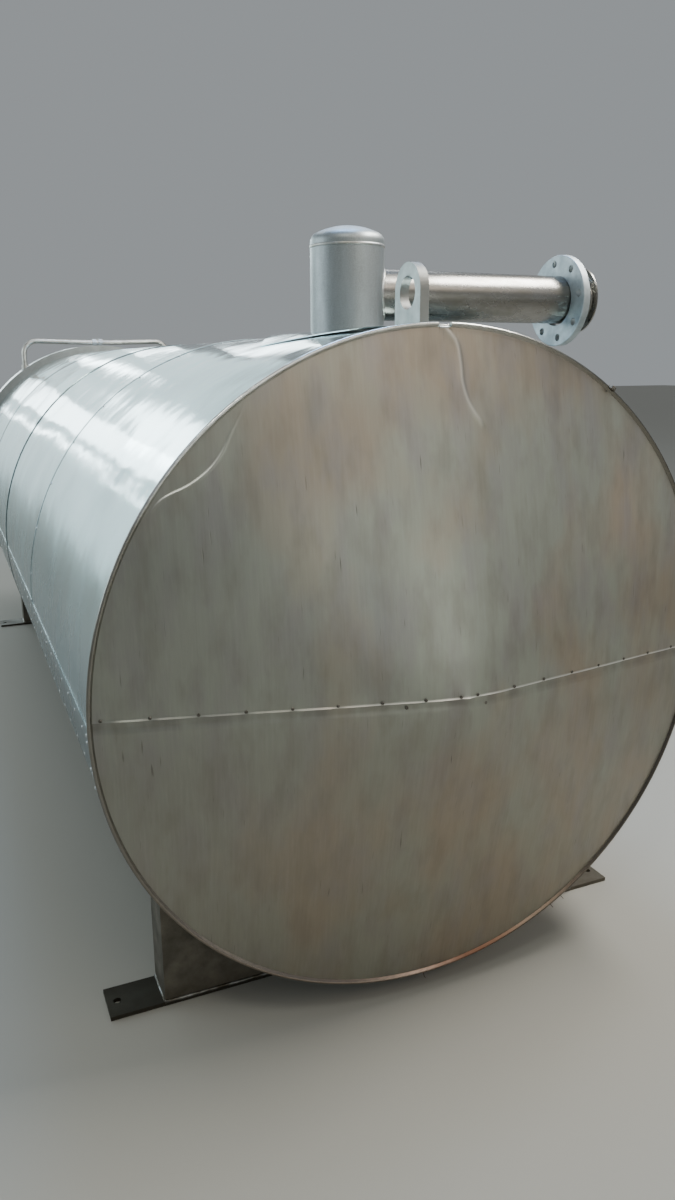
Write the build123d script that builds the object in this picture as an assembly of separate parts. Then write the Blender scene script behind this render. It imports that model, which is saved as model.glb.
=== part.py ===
from build123d import *
import math
import os

# Barrel: its axis runs along Y above the floor, with the blind end towards -Y.
# Distances along it are given from the rim of the blind end.
axis_height = 765
jacket_sheet = 1.5
barrel_length = 3840
first_seam = 1030
seam_pitch = 902
course_count = 4
course_lap = 25
side_edge_drop = 9
side_lap = 45
notch_gap = 1

# Pressure shell and its blind head, and the insulation between them and the jacket
shell_bore = 1300
shell_wall = 6
insulation_thickness = 39.5
head_apex_gap = 50
head_skirt = 20
support_ring_thickness = 5
support_ring_offset = 8

# Conical cover of the blind end, in two halves, and the beaded strip round its rim
cover_height = 138
cover_lap = 25
rim_strip_leg = 14
rim_bead_r = 3.8
rim_bead_rise = 2.2
rim_bead_forward = 1
rim_lip_depth = 1.2
rim_joint_gap = 28
rim_clip_width = 20
rim_clip_length = 18
rim_clip_lip = 1.5

# Dome: a capped stub of DN150 pipe on the crown of the barrel
dome_from_rim = 441
dome_od = 168.3
dome_wall = 4.5
dome_weld_above_jacket = 184
dome_cap_skirt = 9.5
dome_hole_clearance = 2

# Flashing: a six-sided sheet, bent closer than the jacket so that it rests on its side tips
flashing_from_rim = 464
flashing_thickness = 2
flashing_half_width = 205
flashing_half_length = 245
flashing_end_half_width = 96
flashing_bend_r = 600

# Branch: a DN100 pipe from the dome towards +X, with a pressed collar and a loose flange
branch_above_jacket = 84
branch_od = 114.3
branch_wall = 3
branch_end = 650
collar_od = 158
collar_thickness = 4
collar_neck = 18
collar_outer_fillet = 6
collar_mouth_fillet = 5
flange_back = 582
flange_thickness = 20
flange_od = 220
flange_bore = 120
flange_hang_gap = 0.3
flange_edge_r = 2.5
flange_bolt_circle_d = 180
flange_bolt_count = 8
flange_hole_d = 18
flange_turn = 9

# Lifting lug on the crown
lug_from_rim = 130.5
lug_width = 105
lug_thickness = 20
lug_eye_above_jacket = 66
lug_eye_d = 64
lug_round_above_eye = 5
lug_slot_clearance = 2

# Saddles
saddle_from_end = 251
saddle_depth = 100
saddle_plate_length = 1358
saddle_plate_thickness = 10
saddle_web_width = 1116
saddle_web_thickness = 8
saddle_bolt_edge = 23
saddle_bolt_d = 18
wear_plate_thickness = 8
wear_plate_margin = 20
wear_plate_half_angle = 66
saddle_cutout_clearance = 3

# Door end: body flange, turning ring with teeth, door flange and dished door
ring_proud = 30
ring_length = 130
ring_band = 25
ring_lip = 28
ring_lip_height = 37
ring_tooth_length = 26
ring_tooth_height = 33
tooth_count = 20
tooth_root_gap = 3
tooth_tip_gap = 3
running_gap = 0.3
door_skirt = 25
body_flange_length = 50

# Door hinge on the +X side and the handle opposite
hinge_above_axis = 180
hinge_plate = 16
hinge_from_ring = 60
hinge_plate_gap = 20
hinge_behind_ring = 40
hinge_eye_r = 28
hinge_pin_d = 30
hinge_pin_clearance = 0.3
hinge_head_margin = 6
hinge_head_height = 8
hinge_plate_foot = 110
hinge_plate_setback = 30
hinge_arm_gap = 0.3
door_handle_d = 20
door_handle_grip = 180
door_handle_stand = 60
door_handle_from_axis = 520

# Bow of pipe over the door ring, sagging a little to the union in the middle
bow_pipe_d = 26.9
bow_pipe_wall = 2.6
bow_half_width = 402
bow_top_above_ring = 26
bow_sag = 7.5
bow_bend_radius = 72
bow_straight_end = 50
bow_from_ring_face = 45
bow_boss_d = 40
bow_boss_height = 16
union_nut_flats = 36
union_nut_length = 22
union_nut_setback = 2
union_body_length = 60
union_body_d = 31

# Values that follow from the sizes above
shell_r = shell_bore / 2 + shell_wall
liner_r = shell_r + insulation_thickness
jacket_r = liner_r + 3 * jacket_sheet
cover_edge_r = jacket_r - 2 * jacket_sheet
ring_r = jacket_r + ring_proud
ring_bore_r = ring_r - ring_band
door_rim_r = ring_bore_r - ring_tooth_height - tooth_root_gap
hinge_out = ring_r + hinge_from_ring
rim_y = -barrel_length / 2
ring_y = barrel_length / 2
dome_y = rim_y + dome_from_rim
lug_y = rim_y + lug_from_rim
dome_weld_z = jacket_r + dome_weld_above_jacket
branch_z = jacket_r + branch_above_jacket
lug_eye_z = jacket_r + lug_eye_above_jacket
bow_z = ring_r + bow_top_above_ring - bow_sag
axis_line = Axis((0, 0, axis_height), (0, 1, 0))
seams = [first_seam + seam_pitch * i for i in range(course_count - 1)]
head_crown_r = 2 * shell_r
head_knuckle_r = 0.2 * shell_r
saddle_y = {"front": rim_y + saddle_from_end, "rear": ring_y - saddle_from_end}
reach = 6 * jacket_r


def place(x, y, z):
    return Location((x, y, z))


def bar(radius, start, end):
    """Round bar on the barrel's axis between two places along Y."""
    plane = Plane(origin=(0, start, axis_height), x_dir=(1, 0, 0), z_dir=(0, 1, 0))
    return extrude(plane * Circle(radius), amount=end - start)


def tube(outer, inner, start, end):
    return bar(outer, start, end) - bar(inner, start, end)


def block(x0, x1, y0, y1, z0, z1):
    """Box between corners, with its heights measured from the barrel's axis."""
    centre = place((x0 + x1) / 2, (y0 + y1) / 2, axis_height + (z0 + z1) / 2)
    return centre * Box(x1 - x0, y1 - y0, z1 - z0)


def upright(radius, x, y, z0, z1):
    """Vertical round bar, with its heights measured from the barrel's axis."""
    plane = Plane(origin=(x, y, axis_height + z0), z_dir=(0, 0, 1))
    return extrude(plane * Circle(radius), amount=z1 - z0)


def crosswise(radius, y, z, x0, x1):
    """Round bar along X at a height above the barrel's axis."""
    plane = Plane(origin=(x0, y, axis_height + z), x_dir=(0, 1, 0), z_dir=(1, 0, 0))
    return extrude(plane * Circle(radius), amount=x1 - x0)


def turned(points):
    """Solid turned from (y, radius) points about the barrel's axis."""
    corners = [(0, y, axis_height + r) for y, r in points]
    return revolve(make_face(Polyline(*corners, close=True)), axis=axis_line)


def head_contour(outer_r, crown_r, knuckle_r, skirt, inset):
    """Skirt, knuckle and crown of a torispherical head, inset from its outside."""
    back = math.sqrt((crown_r - knuckle_r) ** 2 - (outer_r - knuckle_r) ** 2)
    lean = math.atan2(outer_r - knuckle_r, back)
    middle = (lean + math.pi / 2) / 2
    knuckle = knuckle_r - inset
    crown = crown_r - inset
    side = outer_r - inset
    knuckle_middle = (knuckle * math.cos(middle), outer_r - knuckle_r + knuckle * math.sin(middle))
    crown_edge = (crown * math.cos(lean) - back, crown * math.sin(lean))
    crown_middle = (crown * math.cos(lean / 2) - back, crown * math.sin(lean / 2))
    straight = Line((-skirt, side), (0, side))
    corner = ThreePointArc((0, side), knuckle_middle, crown_edge)
    centre = ThreePointArc(crown_edge, crown_middle, (crown - back, 0))
    return [straight, corner, centre]


def turned_head(edges, tangent_y, outward):
    """Turns a head's section; its crown points along -Y (outward = -1) or +Y (outward = 1)."""
    plane = Plane(origin=(0, tangent_y, axis_height), x_dir=(0, outward, 0), z_dir=(outward, 0, 0))
    return revolve(plane * make_face(Curve() + edges), axis=axis_line)


def dished(outer_r, wall, crown_r, knuckle_r, skirt, tangent_y, outward):
    """Torispherical head of even wall."""
    outside = head_contour(outer_r, crown_r, knuckle_r, skirt, 0)
    inside = head_contour(outer_r, crown_r, knuckle_r, skirt, wall)
    rim = Line((-skirt, outer_r), (-skirt, outer_r - wall))
    pole = Line(outside[2] @ 1, inside[2] @ 1)
    return turned_head(outside + inside + [rim, pole], tangent_y, outward)


def head_space(skirt, tangent_y, outward):
    """All that lies within the outside of one of the shell's heads."""
    outside = head_contour(shell_r, head_crown_r, head_knuckle_r, skirt, 0)
    rim = Line((-skirt, shell_r), (-skirt, 0))
    middle = Line((-skirt, 0), outside[2] @ 1)
    return turned_head(outside + [rim, middle], tangent_y, outward)


def head_depth(outer_r, crown_r, knuckle_r):
    """Distance from a torispherical head's tangent line to its pole."""
    return crown_r - math.sqrt((crown_r - knuckle_r) ** 2 - (outer_r - knuckle_r) ** 2)


head_tangent_y = rim_y - cover_height + head_apex_gap + head_depth(shell_r, head_crown_r, head_knuckle_r)
shell_start = head_tangent_y + head_skirt
body_flange_start = ring_y + ring_lip + running_gap
body_flange_end = body_flange_start + body_flange_length
door_flange_end = ring_y + ring_length - ring_tooth_length - running_gap
door_tangent_y = door_flange_end + door_skirt


def saddle_cutouts():
    """Space that the saddles' boxes take where they pass through the jacket."""
    half_x = saddle_web_width / 2 + saddle_cutout_clearance
    half_y = saddle_depth / 2 + saddle_cutout_clearance
    top = -math.sqrt(jacket_r ** 2 - half_x ** 2) + 4 * jacket_sheet
    return [block(-half_x, half_x, y - half_y, y + half_y, -axis_height, top) for y in saddle_y.values()]


def hinge_plate_slots():
    """Slots that let the hinge plates through the jacket."""
    y1 = ring_y - hinge_plate_setback + lug_slot_clearance
    y0 = ring_y - hinge_plate_setback - hinge_plate_foot - lug_slot_clearance
    half = hinge_plate / 2 + lug_slot_clearance
    return [
        block(shell_r / 2, reach, y0, y1, z - half, z + half)
        for z in (hinge_above_axis, -hinge_above_axis)
    ]


def crown_cutouts():
    """Holes in the jacket's crown for the lug and the dome."""
    half_x = lug_thickness / 2 + lug_slot_clearance
    half_y = lug_width / 2 + lug_slot_clearance
    slot = block(-half_x, half_x, lug_y - half_y, lug_y + half_y, 0, reach)
    hole = upright(dome_od / 2 + dome_hole_clearance, 0, dome_y, 0, reach)
    return [slot, hole]


def jacket_sheet_piece(course, upper):
    """One sheet of a course: the first and third courses and the lower sheets lie on top."""
    tucked = course % 2 == 1
    level = (1 if tucked else 0) + (1 if upper else 0)
    outer = jacket_r - level * jacket_sheet
    edges = [0] + seams + [barrel_length]
    start = rim_y + edges[course]
    end = rim_y + edges[course + 1]
    laps = []
    if tucked:
        laps.append((start - course_lap, start))
        start -= course_lap
        if course < course_count - 1:
            laps.append((end, end + course_lap))
            end += course_lap
    sheet = tube(outer, outer - jacket_sheet, start, end)
    upper_edge = -side_edge_drop - side_lap
    if upper:
        sheet = sheet - block(-reach, reach, start, end, -reach, upper_edge)
    else:
        sheet = sheet - block(-reach, reach, start, end, -side_edge_drop, reach)
        for lap_start, lap_end in laps:
            sheet = sheet - block(-reach, reach, lap_start, lap_end, upper_edge - notch_gap, reach)
    cuts = hinge_plate_slots() if course == course_count - 1 else []
    if upper and course == 0:
        cuts = cuts + crown_cutouts()
    if not upper:
        cuts = cuts + saddle_cutouts()
    for cut in cuts:
        sheet = sheet - cut
    return sheet


def cover_half(upper):
    """Half of the conical cover; the lower half runs up behind the upper one."""
    lift = 0 if upper else jacket_sheet
    apex = rim_y - cover_height + lift
    rim = rim_y + lift
    back = jacket_sheet
    cone = turned([(rim, cover_edge_r), (apex, 0), (apex + back, 0), (rim + back, cover_edge_r)])
    if upper:
        return cone - block(-reach, reach, rim_y - reach, rim_y + reach, -reach, 0)
    return cone - block(-reach, reach, rim_y - reach, rim_y + reach, cover_lap, reach)


def rim_bead():
    """Whole ring of the rim strip: a leg on the jacket that rolls over into a bead on the cover's edge."""
    middle = rim_y - rim_bead_forward
    edge = cover_edge_r - jacket_r

    def at(y, rise):
        return (0, y, axis_height + jacket_r + rise)

    shoulder = at(middle + math.sqrt(rim_bead_r ** 2 - (rim_bead_rise - jacket_sheet) ** 2), jacket_sheet)
    top = at(middle, rim_bead_rise + rim_bead_r)
    chin = at(middle - math.sqrt(rim_bead_r ** 2 - rim_bead_rise ** 2), 0)
    lip = at(rim_y - cover_height * rim_lip_depth / cover_edge_r, edge - rim_lip_depth)
    leg_end = rim_y + rim_strip_leg
    edges = [
        Polyline(at(rim_y, edge), at(rim_y, 0), at(leg_end, 0), at(leg_end, jacket_sheet), shoulder),
        ThreePointArc(shoulder, top, chin),
        Polyline(chin, lip, at(rim_y, edge)),
    ]
    return revolve(make_face(Curve() + edges), axis=axis_line)


def rim_strip(side):
    """Half of the beaded strip that closes the joint of cover and jacket; side is -1 or 1 in X."""
    half_gap = rim_joint_gap / 2
    gap = block(-half_gap, half_gap, rim_y - reach, rim_y + reach, 0, reach)
    other = block(min(0, -side * reach), max(0, -side * reach), rim_y - reach, rim_y + reach, -reach, reach)
    return rim_bead() - other - gap


def rim_clip():
    """Small bent tab that bridges the joint of the rim strip on the crown."""
    lip_r = cover_edge_r - rim_lip_depth
    lip_y = rim_y - cover_height * rim_lip_depth / cover_edge_r
    ring = turned([
        (lip_y, lip_r),
        (lip_y - rim_clip_lip, lip_r),
        (lip_y - rim_clip_lip, jacket_r),
        (rim_y, jacket_r + jacket_sheet),
        (rim_y + rim_clip_length, jacket_r + jacket_sheet),
        (rim_y + rim_clip_length, jacket_r),
        (rim_y, jacket_r),
        (rim_y, cover_edge_r),
    ])
    half = rim_clip_width / 2
    return ring & block(-half, half, rim_y - reach, rim_y + reach, 0, reach)


def support_rings():
    """Flat rings on the shell that hold the jacket's sheets at their seams."""
    places = [rim_y + seam - course_lap / 2 for seam in seams]
    beside = saddle_from_end + saddle_depth / 2 + wear_plate_margin + support_ring_offset
    places += [rim_y + beside, ring_y - beside]
    half = support_ring_thickness / 2
    return Compound([tube(liner_r, shell_r, y - half, y + half) for y in places])


def pressure_shell():
    """Rolled shell with the opening of the dome."""
    shell = tube(shell_r, shell_bore / 2, shell_start, body_flange_start)
    return shell - upright(dome_od / 2 - dome_wall, 0, dome_y, 0, reach)


def blind_head():
    return dished(shell_r, shell_wall, head_crown_r, head_knuckle_r, head_skirt, head_tangent_y, -1)


def dome_neck():
    """Stub of pipe that stands on the shell, with a hole for the branch."""
    neck = upright(dome_od / 2, 0, dome_y, 0, dome_weld_z)
    neck = neck - upright(dome_od / 2 - dome_wall, 0, dome_y, 0, dome_weld_z)
    neck = neck - bar(shell_r, rim_y, ring_y)
    return neck - crosswise(branch_od / 2 - branch_wall, dome_y, branch_z, 0, dome_od)


def dome_cap():
    """Dished pipe cap welded on the neck, its crown pointing up."""
    outer = dome_od / 2
    lying = dished(outer, dome_wall, 2 * outer, outer / 4, dome_cap_skirt, 0, 1)
    raised = lying.rotate(Axis((0, 0, axis_height), (1, 0, 0)), 90)
    return place(0, dome_y, dome_weld_z + dome_cap_skirt) * raised


def dome_flashing():
    """Six-sided sheet round the dome's foot, standing a little off the jacket along its middle."""
    y = rim_y + flashing_from_rim
    corners = [
        (-flashing_half_width, y),
        (-flashing_end_half_width, y - flashing_half_length),
        (flashing_end_half_width, y - flashing_half_length),
        (flashing_half_width, y),
        (flashing_end_half_width, y + flashing_half_length),
        (-flashing_end_half_width, y + flashing_half_length),
    ]
    outline = make_face(Polyline(*corners, close=True))
    column = extrude(place(0, 0, axis_height) * outline, amount=reach)
    tip_height = math.sqrt((jacket_r - jacket_sheet) ** 2 - flashing_half_width ** 2)
    rise = tip_height - math.sqrt(flashing_bend_r ** 2 - flashing_half_width ** 2)
    skin = tube(flashing_bend_r + flashing_thickness, flashing_bend_r, rim_y, ring_y)
    hole = upright(dome_od / 2, 0, dome_y, 0, reach)
    return ((place(0, 0, rise) * skin) & column) - hole


def branch_pipe():
    """Pipe from the dome's neck out to the weld of its collar."""
    end = branch_end - collar_neck
    pipe = crosswise(branch_od / 2, dome_y, branch_z, 0, end)
    pipe = pipe - upright(dome_od / 2, 0, dome_y, 0, reach)
    return pipe - crosswise(branch_od / 2 - branch_wall, dome_y, branch_z, 0, end)


def branch_collar():
    """Pressed collar: a short neck that flares into a thin disc."""
    outer = branch_od / 2
    inner = outer - branch_wall
    back = -collar_thickness
    neck = Polyline((-collar_neck, inner), (-collar_neck, outer), (back - collar_outer_fillet, outer))
    root = RadiusArc(neck @ 1, (back, outer + collar_outer_fillet), collar_outer_fillet)
    disc = Polyline(root @ 1, (back, collar_od / 2), (0, collar_od / 2), (0, inner + collar_mouth_fillet))
    mouth = RadiusArc(disc @ 1, (-collar_mouth_fillet, inner), -collar_mouth_fillet)
    bore = Line(mouth @ 1, neck @ 0)
    face = make_face(Curve() + [neck, root, disc, mouth, bore])
    plane = Plane(origin=(branch_end, dome_y, axis_height + branch_z), x_dir=(1, 0, 0), z_dir=(0, -1, 0))
    return revolve(plane * face, axis=Axis((0, dome_y, axis_height + branch_z), (1, 0, 0)))


def branch_flange():
    """Loose plate flange that hangs on the branch pipe, with rounded edges and bolt holes."""
    front = flange_back + flange_thickness
    middle = branch_z - (flange_bore - branch_od) / 2 + flange_hang_gap
    disc = crosswise(flange_od / 2, dome_y, middle, flange_back, front)
    disc = fillet(disc.edges().filter_by(GeomType.CIRCLE), flange_edge_r)
    disc = disc - crosswise(flange_bore / 2, dome_y, middle, flange_back, front)
    for i in range(flange_bolt_count):
        turn = math.radians(flange_turn + 360 * i / flange_bolt_count)
        hole_y = dome_y + flange_bolt_circle_d / 2 * math.sin(turn)
        hole_z = middle + flange_bolt_circle_d / 2 * math.cos(turn)
        disc = disc - crosswise(flange_hole_d / 2, hole_y, hole_z, flange_back, front)
    return disc


def lifting_lug():
    """Round-topped plate along the crown, welded to the head and shell under the jacket."""
    half = lug_thickness / 2
    top = lug_eye_z + lug_round_above_eye
    plate = block(-half, half, lug_y - lug_width / 2, lug_y + lug_width / 2, 0, top)
    plate = plate + crosswise(lug_width / 2, lug_y, top, -half, half)
    plate = plate - crosswise(lug_eye_d / 2, lug_y, lug_eye_z, -half, half)
    plate = plate - bar(shell_r, head_tangent_y, ring_y)
    return plate - head_space(head_skirt, head_tangent_y, -1)


def saddle_plate(y):
    """Foot plate with a bolt hole near each end."""
    plate = block(-saddle_plate_length / 2, saddle_plate_length / 2, y - saddle_depth / 2,
                  y + saddle_depth / 2, -axis_height, saddle_plate_thickness - axis_height)
    for side in (-1, 1):
        x = side * (saddle_plate_length / 2 - saddle_bolt_edge)
        plate = plate - upright(saddle_bolt_d / 2, x, y, -axis_height, 0)
    return plate


def saddle_box(y):
    """Two webs and two end plates, cut to the wear plate's curve."""
    half_x = saddle_web_width / 2
    half_y = saddle_depth / 2
    wall = saddle_web_thickness
    foot = saddle_plate_thickness - axis_height
    box = block(-half_x, half_x, y - half_y, y + half_y, foot, 0)
    box = box - block(-half_x + wall, half_x - wall, y - half_y + wall, y + half_y - wall, foot, 0)
    return box - bar(shell_r + wear_plate_thickness, y - saddle_depth, y + saddle_depth)


def wear_plate(y):
    """Curved plate between the saddle's box and the shell."""
    half = saddle_depth / 2 + wear_plate_margin
    plate = tube(shell_r + wear_plate_thickness, shell_r, y - half, y + half)
    spread = math.radians(wear_plate_half_angle)
    floor_line = -(shell_r + wear_plate_thickness) * math.cos(spread)
    return plate - block(-reach, reach, y - half, y + half, floor_line, reach)


def body_flange():
    """Forged ring that ends the shell inside the turning ring."""
    return tube(ring_bore_r - running_gap, shell_bore / 2, body_flange_start, body_flange_end)


def teeth(root_r, tip_r, start, end, fill):
    """Ring of teeth between two radii; fill is the share of the pitch that a tooth takes."""
    ring = tube(tip_r, root_r, start, end)
    half = math.pi / tooth_count * fill
    far = 2 * tip_r
    wedges = []
    for i in range(tooth_count):
        middle = 2 * math.pi * i / tooth_count
        corners = [
            (0, 0),
            (far * math.sin(middle - half), far * math.cos(middle - half)),
            (far * math.sin(middle + half), far * math.cos(middle + half)),
        ]
        face = make_face(Polyline(*corners, close=True))
        plane = Plane(origin=(0, start, axis_height), x_dir=(1, 0, 0), z_dir=(0, -1, 0))
        wedges.append(extrude(plane * face, amount=start - end))
    tooth_field = ring & wedges[0]
    for wedge in wedges[1:]:
        tooth_field = tooth_field + (ring & wedge)
    return tooth_field


def turning_ring():
    """Ring with a lip behind the body flange and teeth in front of the door's teeth."""
    end = ring_y + ring_length
    band = tube(ring_r, ring_bore_r, ring_y, end)
    lip = tube(ring_bore_r, ring_bore_r - ring_lip_height, ring_y, ring_y + ring_lip)
    tooth_start = end - ring_tooth_length
    return band + lip + teeth(ring_bore_r - ring_tooth_height, ring_bore_r, tooth_start, end, 0.5)


def door_flange():
    """Door's rim with the teeth that the turning ring holds."""
    rim = tube(door_rim_r, shell_bore / 2, body_flange_end, door_flange_end)
    tips = ring_bore_r - tooth_tip_gap
    return rim + teeth(door_rim_r, tips, body_flange_end, door_flange_end, 0.44)


def door_dish():
    return dished(shell_r, shell_wall, head_crown_r, head_knuckle_r, door_skirt, door_tangent_y, 1)


def hinge_bracket(z):
    """Plate from the shell, out round the turning ring to the hinge pin."""
    back = ring_y - hinge_plate_setback
    pin_y = ring_y + ring_length + hinge_behind_ring
    inner = ring_r + hinge_plate_gap
    outer = hinge_out + hinge_eye_r
    corners = [
        (0, back - hinge_plate_foot),
        (inner, back - hinge_plate_foot),
        (outer, back),
        (outer, pin_y),
        (hinge_out - hinge_eye_r, pin_y),
        (hinge_out - hinge_eye_r, ring_y),
        (inner, back),
        (0, back),
    ]
    face = make_face(Polyline(*corners, close=True))
    plate = extrude(place(0, 0, axis_height + z - hinge_plate / 2) * face, amount=hinge_plate)
    plate = plate + upright(hinge_eye_r, hinge_out, pin_y, z - hinge_plate / 2, z + hinge_plate / 2)
    plate = plate - bar(shell_r, rim_y, ring_y)
    hole = hinge_pin_d / 2 + hinge_pin_clearance
    return plate - upright(hole, hinge_out, pin_y, z - hinge_plate, z + hinge_plate)


def hinge_arm(z):
    """Plate from the hinge pin to the door's dish, lying on the bracket's eye."""
    pin_y = ring_y + ring_length + hinge_behind_ring
    bottom = z + hinge_plate / 2 + hinge_arm_gap
    corners = [
        (0, pin_y - hinge_eye_r),
        (hinge_out, pin_y - hinge_eye_r),
        (hinge_out, pin_y + hinge_eye_r),
        (0, pin_y + hinge_eye_r),
    ]
    face = make_face(Polyline(*corners, close=True))
    arm = extrude(place(0, 0, axis_height + bottom) * face, amount=hinge_plate)
    arm = arm + upright(hinge_eye_r, hinge_out, pin_y, bottom, bottom + hinge_plate)
    arm = arm - bar(shell_r, rim_y, door_tangent_y)
    arm = arm - head_space(door_skirt, door_tangent_y, 1)
    hole = hinge_pin_d / 2 + hinge_pin_clearance
    return arm - upright(hole, hinge_out, pin_y, bottom, bottom + hinge_plate)


def hinge_pin():
    """Pin through both brackets and arms, with a head that rests on the upper arm."""
    pin_y = ring_y + ring_length + hinge_behind_ring
    head_base = hinge_above_axis + 1.5 * hinge_plate + 2 * hinge_arm_gap
    foot = -hinge_above_axis - hinge_plate
    pin = upright(hinge_pin_d / 2, hinge_out, pin_y, foot, head_base)
    head_r = hinge_pin_d / 2 + hinge_head_margin
    return pin + upright(head_r, hinge_out, pin_y, head_base, head_base + hinge_head_height)


def door_handle():
    """Bent bar on the door's dish, on the side away from the hinge."""
    x = -door_handle_from_axis
    drop = head_crown_r - math.sqrt(head_crown_r ** 2 - door_handle_from_axis ** 2)
    pole = door_tangent_y + head_depth(shell_r, head_crown_r, head_knuckle_r)
    grip_y = pole - drop + door_handle_stand
    half = door_handle_grip / 2
    base_y = pole - 2 * drop
    route = FilletPolyline(
        (x, base_y, axis_height - half), (x, grip_y, axis_height - half),
        (x, grip_y, axis_height + half), (x, base_y, axis_height + half), radius=1.5 * door_handle_d)
    section = Plane(origin=route @ 0, z_dir=route % 0) * Circle(door_handle_d / 2)
    return sweep(section, path=route) - head_space(door_skirt, door_tangent_y, 1)


def bow_half(side):
    """Half of the pipe bow, from its boss on the turning ring to the union."""
    y = ring_y + bow_from_ring_face
    foot = math.sqrt(ring_r ** 2 - bow_half_width ** 2)
    x = side * bow_half_width
    stop = side * union_body_length / 2
    level = stop + side * bow_straight_end
    middle = axis_height + bow_z
    route = FilletPolyline(
        (x, y, axis_height + foot + bow_boss_height), (x, y, middle + bow_sag),
        (level, y, middle), (stop, y, middle), radius=bow_bend_radius)
    section = Plane(origin=route @ 0, z_dir=route % 0) * Circle(bow_pipe_d / 2)
    bore = Plane(origin=route @ 0, z_dir=route % 0) * Circle(bow_pipe_d / 2 - bow_pipe_wall)
    return sweep(section, path=route) - sweep(bore, path=route)


def bow_boss(side):
    """Welded boss that carries a leg of the bow."""
    y = ring_y + bow_from_ring_face
    x = side * bow_half_width
    foot = math.sqrt(ring_r ** 2 - bow_half_width ** 2)
    boss = upright(bow_boss_d / 2, x, y, foot - bow_boss_d, foot + bow_boss_height)
    return boss - bar(ring_r, ring_y, ring_y + ring_length)


def bow_union():
    """Union between the bow's halves: a body and two hexagon nuts."""
    y = ring_y + bow_from_ring_face
    half = union_body_length / 2
    union = crosswise(union_body_d / 2, y, bow_z, -half, half)
    flat_r = union_nut_flats / 2
    for side in (-1, 1):
        middle = side * (half - union_nut_length / 2 - union_nut_setback)
        plane = Plane(origin=(middle - union_nut_length / 2, y, axis_height + bow_z),
                      x_dir=(0, 1, 0), z_dir=(1, 0, 0))
        hexagon = RegularPolygon(flat_r, 6, major_radius=False)
        union = union + extrude(plane * hexagon, amount=union_nut_length)
    return union


def all_parts():
    """Every sub-part under its node name."""
    parts = {}
    for course in range(course_count):
        parts[f"jacket_upper_{course + 1}"] = jacket_sheet_piece(course, True)
        parts[f"jacket_lower_{course + 1}"] = jacket_sheet_piece(course, False)
    parts["cover_upper"] = cover_half(True)
    parts["cover_lower"] = cover_half(False)
    parts["rim_strip_left"] = rim_strip(-1)
    parts["rim_strip_right"] = rim_strip(1)
    parts["rim_clip"] = rim_clip()
    parts["pressure_shell"] = pressure_shell()
    parts["blind_head"] = blind_head()
    parts["support_rings"] = support_rings()
    parts["dome_neck"] = dome_neck()
    parts["dome_cap"] = dome_cap()
    parts["dome_flashing"] = dome_flashing()
    parts["branch_pipe"] = branch_pipe()
    parts["branch_collar"] = branch_collar()
    parts["branch_flange"] = branch_flange()
    parts["lifting_lug"] = lifting_lug()
    for name, y in saddle_y.items():
        parts[f"{name}_saddle_plate"] = saddle_plate(y)
        parts[f"{name}_saddle_box"] = saddle_box(y)
        parts[f"{name}_wear_plate"] = wear_plate(y)
    parts["body_flange"] = body_flange()
    parts["turning_ring"] = turning_ring()
    parts["door_flange"] = door_flange()
    parts["door_dish"] = door_dish()
    for name, z in {"upper": hinge_above_axis, "lower": -hinge_above_axis}.items():
        parts[f"hinge_bracket_{name}"] = hinge_bracket(z)
        parts[f"hinge_arm_{name}"] = hinge_arm(z)
    parts["hinge_pin"] = hinge_pin()
    parts["door_handle"] = door_handle()
    for name, side in {"left": -1, "right": 1}.items():
        parts[f"bow_pipe_{name}"] = bow_half(side)
        parts[f"bow_boss_{name}"] = bow_boss(side)
    parts["bow_union"] = bow_union()
    return parts


os.makedirs("parts", exist_ok=True)
for node, shape in all_parts().items():
    export_step(shape, f"parts/{node}.step")
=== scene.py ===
"""Looks of the retort sterilizer: sheet metal, rivets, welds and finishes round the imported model."""

import functools
import math

import bmesh
import bpy
from mathutils import Matrix, Quaternion, Vector


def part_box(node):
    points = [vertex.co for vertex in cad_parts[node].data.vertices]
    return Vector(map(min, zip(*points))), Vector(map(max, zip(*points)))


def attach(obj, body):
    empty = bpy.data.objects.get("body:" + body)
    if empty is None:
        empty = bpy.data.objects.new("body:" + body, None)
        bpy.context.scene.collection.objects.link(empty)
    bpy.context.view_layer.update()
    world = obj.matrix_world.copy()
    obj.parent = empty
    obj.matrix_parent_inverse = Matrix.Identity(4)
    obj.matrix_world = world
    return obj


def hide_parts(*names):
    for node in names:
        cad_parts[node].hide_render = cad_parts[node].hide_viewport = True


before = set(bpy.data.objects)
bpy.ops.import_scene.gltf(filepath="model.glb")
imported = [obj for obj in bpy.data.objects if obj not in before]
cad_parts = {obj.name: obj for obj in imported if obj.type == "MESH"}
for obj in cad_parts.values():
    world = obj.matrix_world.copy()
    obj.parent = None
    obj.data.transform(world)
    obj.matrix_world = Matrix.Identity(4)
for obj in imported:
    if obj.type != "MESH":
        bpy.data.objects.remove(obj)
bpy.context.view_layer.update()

bl_info = {
    "name": "Retort sterilizer",
    "version": (1, 0, 0),
    "blender": (4, 5, 0),
    "location": "3D View > Sidebar > Retort",
    "description": "Dresses the packed retort sterilizer with its sheet metal, small parts and finishes",
    "category": "Object",
}

BODY = "root"

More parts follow.
